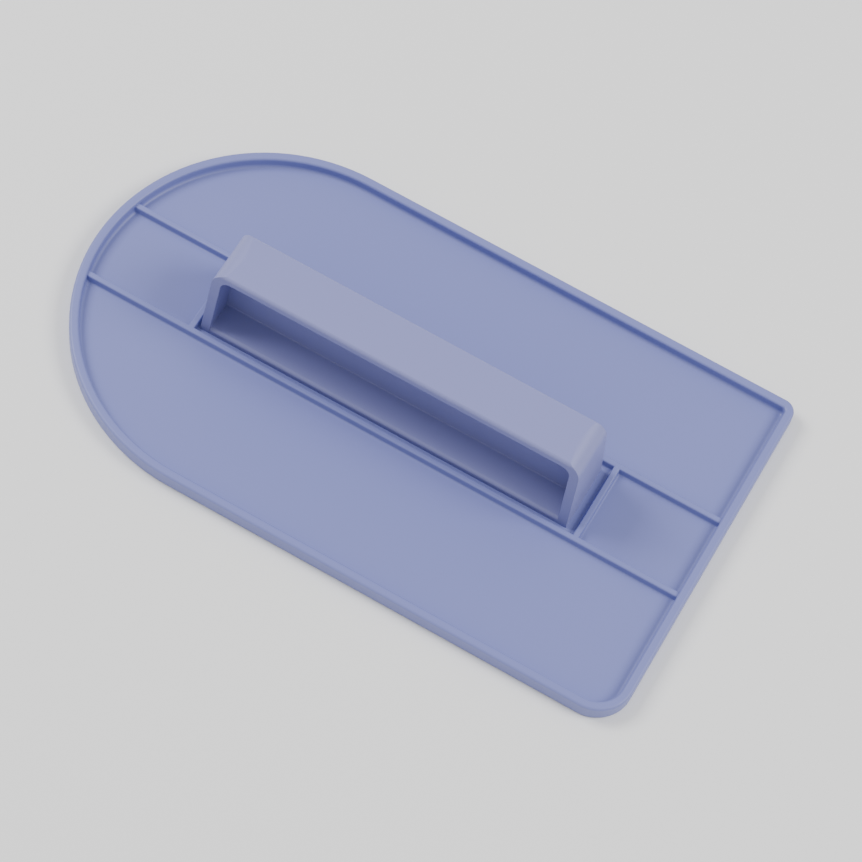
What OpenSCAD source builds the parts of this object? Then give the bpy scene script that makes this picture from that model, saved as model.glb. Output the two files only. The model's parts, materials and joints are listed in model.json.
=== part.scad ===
// Icing smoother: a ribbed plate with a round end and a square end, and the
// handle that is bonded into the pocket between its ribs.
// The origin is the middle of the sole, +X points to the square end, +Z is up.

/* [Plate] */
// Length of the plate from the round tip to the square end
plate_length = 150; // [130:1:190]
// Width of the plate, which is also the diameter of its round end
plate_width = 87; // [75:1:100]
// Thickness of the smoothing floor
floor_t = 1.6; // [1.2:0.1:2.2]
// Height of the rim above the sole
rim_h = 4.2; // [4:0.1:6]
// Thickness of the rim
rim_t = 2.1; // [1.6:0.1:2.2]
// Radius of the tighter corner of the square end
tight_corner_r = 3; // [3:0.5:8]
// Radius of the softer corner of the square end
soft_corner_r = 8.2; // [4:0.2:14]
// Radius that rounds both top edges of the rim
rim_edge_r = 0.6; // [0.2:0.1:0.7]
// Fillet between the floor and the rim
rim_fillet = 0.8; // [0.3:0.1:0.8]
// Radius that eases the edge of the sole
sole_edge_r = 0.4; // [0.1:0.1:0.8]

/* [Ribs] */
// Thickness of a rib at its foot
rib_t = 1.6; // [1.2:0.1:2.2]
// Amount by which each side of a rib leans in towards its top
rib_draft = 0.1; // [0:0.05:0.15]
// How far the top of the ribs lies below the top of the rim
rib_drop = 0.8; // [0.3:0.1:0.9]
// Radius that rounds both top edges of a rib
rib_edge_r = 0.4; // [0.1:0.05:0.4]
// Fillet between the floor and a rib
rib_fillet = 0.4; // [0.1:0.1:0.5]

/* [Handle] */
// Length of the foot of the handle
handle_length = 89.8; // [70:0.2:105]
// Width of the foot of the handle
foot_width = 16.2; // [14:0.1:20]
// Thickness of the foot of the handle
foot_t = 1.9; // [1.4:0.1:2.6]
// Width of the grip along the top
grip_width = 12.2; // [10:0.1:13.5]
// Height of the handle from its foot to the top of the grip
handle_height = 22.4; // [18:0.2:34]
// Thickness of the grip and of the two legs
handle_wall = 2.2; // [1.8:0.1:2.8]
// Thickness of the web that stands inside the handle
web_t = 1.7; // [1.2:0.1:2.4]
// Amount by which each leg leans in towards the grip
leg_draft = 0.8; // [0:0.1:2]
// Radius of the shoulders between the grip and the legs
shoulder_r = 4.5; // [3.5:0.5:8]
// Rise of the crowned top of the grip
grip_crown = 0.2; // [0:0.1:0.6]
// Radius that rounds the long edges of the grip
grip_edge_r = 1; // [0.4:0.1:1]
// Radius that rounds the long top edges of the foot
foot_edge_r = 0.9; // [0.3:0.1:1]
// Fillet along the top and the bottom of the web
web_fillet = 0.2; // [0.2:0.1:1]

/* [Pocket] */
// Distance of the handle's middle from the plate's middle, towards the square end
handle_x = 0.3; // [-5:0.1:5]
// Gap between the foot and the long ribs
side_gap = 1.2; // [0.7:0.1:2]
// Gap between the foot and the cross rib at the round end
round_end_gap = 0.6; // [0.6:0.1:2.5]
// Gap between the foot and the cross rib at the square end
square_end_gap = 2.1; // [0.6:0.1:3]

/* [Hidden] */
$fn = 96;
plate_colour = [0.58, 0.62, 0.80];
handle_colour = [0.63, 0.65, 0.79];
// Steps in a quarter of a small rounding
arc_steps = 6;
// Middle of the round end, and the far reach of the square end
tip_x = plate_width / 2 - plate_length / 2;
end_x = plate_length / 2;
half_w = plate_width / 2;
rib_top = rim_h - rib_drop;
rib_y = foot_width / 2 + side_gap + rib_t / 2;
// Half the length of the handle at its foot and under its shoulders
foot_half = handle_length / 2;
top_half = foot_half - leg_draft;
// Cross ribs stand just outside the ends of the foot
round_rib_x = handle_x - foot_half - round_end_gap - rib_t / 2;
square_rib_x = handle_x + foot_half + square_end_gap + rib_t / 2;
// How deep a joined shape reaches into the wall that carries it
root = 0.8;

// Points of an arc round a centre, from one angle to another
function arc(centre, r, from, to, steps = arc_steps) =
    [for (i = [0:steps]) let (a = from + (to - from) * i / steps)
        [centre[0] + r * cos(a), centre[1] + r * sin(a)]];

// Outline of the plate, drawn in from its real edge
function plate_points(inset) =
    let (half = half_w - inset, end = end_x - inset,
         soft = soft_corner_r - inset, tight = tight_corner_r - inset)
    concat(
        arc([tip_x, 0], half, 90, 270, 48),
        arc([end - soft, soft - half], soft, -90, 0, 12),
        arc([end - tight, half - tight], tight, 0, 90, 8));

// Section of the rim: x runs in from the outer face, y is the height
function rim_points() = concat(
    [[rim_t + rim_fillet, 0], [rim_t + rim_fillet, floor_t]],
    arc([rim_t + rim_fillet, floor_t + rim_fillet], rim_fillet, 270, 180),
    arc([rim_t - rim_edge_r, rim_h - rim_edge_r], rim_edge_r, 0, 90),
    arc([rim_edge_r, rim_h - rim_edge_r], rim_edge_r, 90, 180),
    arc([sole_edge_r, sole_edge_r], sole_edge_r, 180, 270));

// Section of a rib, standing on the floor and rooted in it
function rib_points() =
    let (foot = rib_t / 2, top = rib_t / 2 - rib_draft)
    concat(
        [[-foot - rib_fillet, floor_t - root]],
        arc([-foot - rib_fillet, floor_t + rib_fillet], rib_fillet, -90, 0),
        arc([-top + rib_edge_r, rib_top - rib_edge_r], rib_edge_r, 180, 90),
        arc([top - rib_edge_r, rib_top - rib_edge_r], rib_edge_r, 90, 0),
        arc([foot + rib_fillet, floor_t + rib_fillet], rib_fillet, 180, 270),
        [[foot + rib_fillet, floor_t - root]]);

// A section given as [across, up] and drawn out along X
module along_x(points, from, to) {
    translate([from, 0, 0])
        rotate([90, 0, 90])
            linear_extrude(height = to - from)
                polygon(points);
}

// The rim follows the edge of the plate in one sweep
module rim() {
    near_points = [for (p = rim_points()) [p[0] - half_w, p[1]]];
    far_points = [for (p = rim_points()) [half_w - p[0], p[1]]];
    end_points = [for (p = rim_points()) [end_x - p[0], p[1]]];
    along_x(near_points, tip_x, end_x - soft_corner_r);
    along_x(far_points, tip_x, end_x - tight_corner_r);
    translate([0, half_w - tight_corner_r, 0])
        rotate([90, 0, 0])
            linear_extrude(height = plate_width - tight_corner_r - soft_corner_r)
                polygon(end_points);
    translate([tip_x, 0, 0])
        rotate([0, 0, 90])
            rim_turn(half_w, 180);
    translate([end_x - soft_corner_r, soft_corner_r - half_w, 0])
        rotate([0, 0, -90])
            rim_turn(soft_corner_r, 90);
    translate([end_x - tight_corner_r, half_w - tight_corner_r, 0])
        rim_turn(tight_corner_r, 90);
}

// The rim round one arc of the outline
module rim_turn(outer_r, turn) {
    rotate_extrude(angle = turn)
        polygon([for (p = rim_points()) [outer_r - p[0], p[1]]]);
}

// Two long ribs and two cross ribs, which frame the handle's pocket
module ribs() {
    intersection() {
        union() {
            for (side = [-1, 1])
                translate([0, side * rib_y, 0])
                    along_x(rib_points(), -end_x, end_x);
            for (x = [round_rib_x, square_rib_x])
                translate([x, rib_y, 0])
                    rotate([0, 0, -90])
                        along_x(rib_points(), 0, 2 * rib_y);
        }
        linear_extrude(height = rim_h)
            polygon(plate_points(rim_t / 2));
    }
}

// Smoothing plate: floor, rim and ribs in one moulding
module base_plate() {
    color(plate_colour)
        union() {
            linear_extrude(height = floor_t)
                polygon(plate_points(rim_t / 2));
            rim();
            ribs();
        }
}

// Side view of the handle, drawn in from its outer faces
function handle_points(inset) =
    let (foot = foot_half - inset, top = top_half - inset,
         r = shoulder_r - inset, height = handle_height - inset)
    concat(
        arc([top - r, height - r], r, 0, 90, 8),
        arc([r - top, height - r], r, 90, 180, 8),
        [[-foot, inset], [foot, inset]]);

// Window between the foot, the legs and the grip, seen from the side
function window_points() =
    let (foot = foot_half - handle_wall, top = top_half - handle_wall,
         r = shoulder_r - handle_wall, height = handle_height - handle_wall)
    concat(
        arc([top - r, height - r], r, 0, 90, 8),
        arc([r - top, height - r], r, 90, 180, 8),
        [[-foot, foot_t], [foot, foot_t]]);

// View from the end: the legs narrow from the foot up to the crowned grip
function end_view_points() =
    let (foot = foot_width / 2, top = grip_width / 2, r = grip_edge_r,
         edge = handle_height - grip_crown)
    concat(
        [[foot, 0], [foot, foot_t]],
        arc([top - r, edge - r], r, 0, 75),
        [[0, handle_height]],
        arc([r - top, edge - r], r, 105, 180),
        [[-foot, foot_t], [-foot, 0]]);

// What a rounding of radius r takes off a long edge that points to +Y and +Z
function edge_points(r) = concat([[root, -r], [root, root], [-r, root]], arc([-r, -r], r, 90, 0));

// The rounding on both long edges of the foot, between the legs
module foot_roundings() {
    half_length = foot_half - handle_wall;
    for (side = [-1, 1])
        scale([1, side, 1])
            translate([0, foot_width / 2, foot_t])
                along_x(edge_points(foot_edge_r), -half_length, half_length);
}

// Web that closes the middle of the window, with its fillets
module web() {
    half = web_t / 2;
    low = foot_t;
    high = handle_height - handle_wall;
    intersection() {
        along_x(concat(
            [[half + web_fillet, low - root]],
            arc([half + web_fillet, low + web_fillet], web_fillet, 270, 180),
            arc([half + web_fillet, high - web_fillet], web_fillet, 180, 90),
            [[half + web_fillet, high + root], [-half - web_fillet, high + root]],
            arc([-half - web_fillet, high - web_fillet], web_fillet, 90, 0),
            arc([-half - web_fillet, low + web_fillet], web_fillet, 0, -90),
            [[-half - web_fillet, low - root]]), -foot_half, foot_half);
        rotate([90, 0, 0])
            linear_extrude(height = foot_width, center = true)
                polygon(handle_points(root));
    }
}

// Handle: foot, two legs and grip as one closed frame round a central web
module handle() {
    color(handle_colour)
        translate([handle_x, 0, floor_t])
            union() {
                difference() {
                    intersection() {
                        rotate([90, 0, 0])
                            linear_extrude(height = 2 * foot_width, center = true)
                                difference() {
                                    polygon(handle_points(0));
                                    polygon(window_points());
                                }
                        along_x(end_view_points(), -foot_half - root, foot_half + root);
                    }
                    foot_roundings();
                }
                web();
            }
}

base_plate();
handle();
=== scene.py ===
import json
import math

import bmesh
import bpy
from mathutils import Matrix, Vector

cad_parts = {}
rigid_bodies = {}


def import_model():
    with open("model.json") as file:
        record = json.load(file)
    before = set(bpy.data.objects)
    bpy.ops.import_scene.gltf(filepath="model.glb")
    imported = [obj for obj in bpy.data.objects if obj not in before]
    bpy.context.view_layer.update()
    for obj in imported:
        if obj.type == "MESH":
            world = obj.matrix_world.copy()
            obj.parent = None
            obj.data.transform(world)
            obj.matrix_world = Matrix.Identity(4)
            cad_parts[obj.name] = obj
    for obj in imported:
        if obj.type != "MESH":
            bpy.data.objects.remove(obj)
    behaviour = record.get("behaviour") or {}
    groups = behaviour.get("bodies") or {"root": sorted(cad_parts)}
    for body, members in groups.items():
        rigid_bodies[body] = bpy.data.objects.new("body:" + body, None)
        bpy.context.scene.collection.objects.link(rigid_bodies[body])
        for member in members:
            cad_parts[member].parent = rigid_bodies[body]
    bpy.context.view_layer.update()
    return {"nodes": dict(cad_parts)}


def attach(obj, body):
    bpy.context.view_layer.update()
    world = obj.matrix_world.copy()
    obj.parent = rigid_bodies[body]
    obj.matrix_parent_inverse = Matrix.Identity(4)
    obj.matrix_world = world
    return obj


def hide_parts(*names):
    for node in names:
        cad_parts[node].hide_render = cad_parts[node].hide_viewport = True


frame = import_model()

scene_objects = bpy.context.scene.collection.objects

# The satin surface that both mouldings get from their tools: a fine even grain, and
# edges that are never quite sharp. The group gives a roughness and a normal, and each
# plastic keeps its own shader.
GRAIN_PER_METRE = 2600.0
GRAIN_DETAIL = 2.0
GRAIN_HEIGHT = 0.000012
GRAIN_STRENGTH = 0.35
EDGE_RADIUS = 0.00018
EDGE_SAMPLES = 6
ROUGHNESS_RANGE = (0.38, 0.48)

satin = bpy.data.node_groups.new("moulded_satin", "ShaderNodeTree")
satin.interface.new_socket("Roughness", in_out="OUTPUT", socket_type="NodeSocketFloat")
satin.interface.new_socket("Normal", in_out="OUTPUT", socket_type="NodeSocketVector")
place = satin.nodes.new("ShaderNodeTexCoord")
grain = satin.nodes.new("ShaderNodeTexNoise")
grain.inputs["Scale"].default_value = GRAIN_PER_METRE
grain.inputs["Detail"].default_value = GRAIN_DETAIL
spread = satin.nodes.new("ShaderNodeMapRange")
spread.inputs["To Min"].default_value = ROUGHNESS_RANGE[0]
spread.inputs["To Max"].default_value = ROUGHNESS_RANGE[1]
eased = satin.nodes.new("ShaderNodeBevel")
eased.samples = EDGE_SAMPLES
eased.inputs["Radius"].default_value = EDGE_RADIUS
bump = satin.nodes.new("ShaderNodeBump")
bump.inputs["Strength"].default_value = GRAIN_STRENGTH
bump.inputs["Distance"].default_value = GRAIN_HEIGHT
result = satin.nodes.new("NodeGroupOutput")
satin.links.new(place.outputs["Object"], grain.inputs["Vector"])
satin.links.new(grain.outputs["Fac"], spread.inputs["Value"])
satin.links.new(grain.outputs["Fac"], bump.inputs["Height"])
satin.links.new(eased.outputs["Normal"], bump.inputs["Normal"])
satin.links.new(spread.outputs["Result"], result.inputs["Roughness"])
satin.links.new(bump.outputs["Normal"], result.inputs["Normal"])

PLASTIC_IOR = 1.49


def satin_plastic(name, colour):
    """Opaque moulded plastic of one colour, with the shared satin surface."""
    material = bpy.data.materials.new(name)
    material.use_nodes = True
    shader = material.node_tree.nodes["Principled BSDF"]
    shader.inputs["Base Color"].default_value = (*colour, 1.0)
    shader.inputs["IOR"].default_value = PLASTIC_IOR
    surface = material.node_tree.nodes.new("ShaderNodeGroup")
    surface.node_tree = satin
    material.node_tree.links.new(surface.outputs["Roughness"], shader.inputs["Roughness"])
    material.node_tree.links.new(surface.outputs["Normal"], shader.inputs["Normal"])
    return material


MERGE_DISTANCE = 0.000002
SHARP_ANGLE = math.radians(35)


def moulding(node, material):
    """One closed, smoothly shaded skin over a CAD piece, which it then stands for."""
    shape = bmesh.new()
    shape.from_mesh(frame["nodes"][node].data)
    bmesh.ops.remove_doubles(shape, verts=shape.verts, dist=MERGE_DISTANCE)
    for face in shape.faces:
        face.smooth = True
    for edge in shape.edges:
        edge.smooth = edge.calc_face_angle(0.0) < SHARP_ANGLE
    skin = bpy.data.meshes.new(node + "_moulding")
    shape.to_mesh(skin)
    shape.free()
    if "custom_normal" in skin.attributes:
        skin.attributes.remove(skin.attributes["custom_normal"])
    skin.materials.clear()
    skin.materials.append(material)
    piece = bpy.data.objects.new(node + "_moulding", skin)
    scene_objects.link(piece)
    # Large flat faces lead the shading, so only the roundings look curved
    leading = piece.modifiers.new("flat_faces_lead", "WEIGHTED_NORMAL")
    leading.keep_sharp = True
    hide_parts(node)
    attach(piece, "root")
    return piece


# Base plate: the smoothing sole with its rim and four ribs, injection moulded in
# one piece of lilac blue plastic.
PLATE_COLOUR = (0.190, 0.211, 0.495)
moulding("base_plate", satin_plastic("plate_plastic", PLATE_COLOUR))

# Handle: foot, legs, grip and web in one moulding of a slightly greyer and paler
# plastic, bonded into the pocket between the ribs.
HANDLE_COLOUR = (0.232, 0.243, 0.500)
moulding("handle", satin_plastic("handle_plastic", HANDLE_COLOUR))

# Floor: a plain pale table under the sole, wide enough to fill every view. It lies a
# hair below the sole, so that the two faces don't flicker.
FLOOR_HALF = 3.0
FLOOR_GAP = 0.00005
FLOOR_COLOUR = (0.9, 0.9, 0.9, 1.0)
FLOOR_ROUGHNESS = 0.8
floor_shape = bmesh.new()
bmesh.ops.create_grid(floor_shape, x_segments=1, y_segments=1, size=FLOOR_HALF,
                      matrix=Matrix.Translation((0, 0, -FLOOR_GAP)))
floor_mesh = bpy.data.meshes.new("floor")
floor_shape.to_mesh(floor_mesh)
floor_shape.free()
floor_material = bpy.data.materials.new("pale_floor")
floor_material.use_nodes = True
floor_shader = floor_material.node_tree.nodes["Principled BSDF"]
floor_shader.inputs["Base Color"].default_value = FLOOR_COLOUR
floor_shader.inputs["Roughness"].default_value = FLOOR_ROUGHNESS
floor_mesh.materials.append(floor_material)
floor = bpy.data.objects.new("floor", floor_mesh)
scene_objects.link(floor)

# Studio light: an even pale surround and two soft boxes, one beyond each end of the
# handle, so that both ends cast a soft shadow and the finger recess stays darker.
SURROUND_STRENGTH = 0.6
SOFT_BOX_SIZE = 0.5
world = bpy.data.worlds.new("studio")
bpy.context.scene.world = world
world.use_nodes = True
surround = world.node_tree.nodes["Background"]
surround.inputs["Color"].default_value = (1.0, 1.0, 1.0, 1.0)
surround.inputs["Strength"].default_value = SURROUND_STRENGTH


def soft_box(name, location, watts):
    """A square soft light at a place, turned to the middle of the object."""
    lamp = bpy.data.lights.new(name, "AREA")
    lamp.size = SOFT_BOX_SIZE
    lamp.energy = watts
    light = bpy.data.objects.new(name, lamp)
    light.location = location
    light.rotation_euler = (-Vector(location)).to_track_quat("-Z", "Y").to_euler()
    scene_objects.link(light)


soft_box("round_end_light", (-0.75, 0.0, 0.8), 9.4)
soft_box("square_end_light", (0.75, 0.2, 0.8), 8.4)

# Camera: a long lens above the near side, turned a little about its own axis, as
# the photograph was taken.
LENS_MM = 137.0
TARGET = Vector((0.0095, -0.0024, 0.0))
DISTANCE = 0.7018
AZIMUTH = math.radians(17.86)
ELEVATION = math.radians(61.94)
ROLL = math.radians(12.69)
backward = Vector((math.sin(AZIMUTH) * math.cos(ELEVATION),
                   -math.cos(AZIMUTH) * math.cos(ELEVATION),
                   math.sin(ELEVATION)))
lens = bpy.data.cameras.new("camera")
lens.lens = LENS_MM
lens.dof.use_dof = False
camera = bpy.data.objects.new("camera", lens)
turn = (-backward).to_track_quat("-Z", "Y").to_matrix() @ Matrix.Rotation(ROLL, 3, "Z")
camera.matrix_world = Matrix.Translation(TARGET + DISTANCE * backward) @ turn.to_4x4()
scene_objects.link(camera)
bpy.context.scene.camera = camera
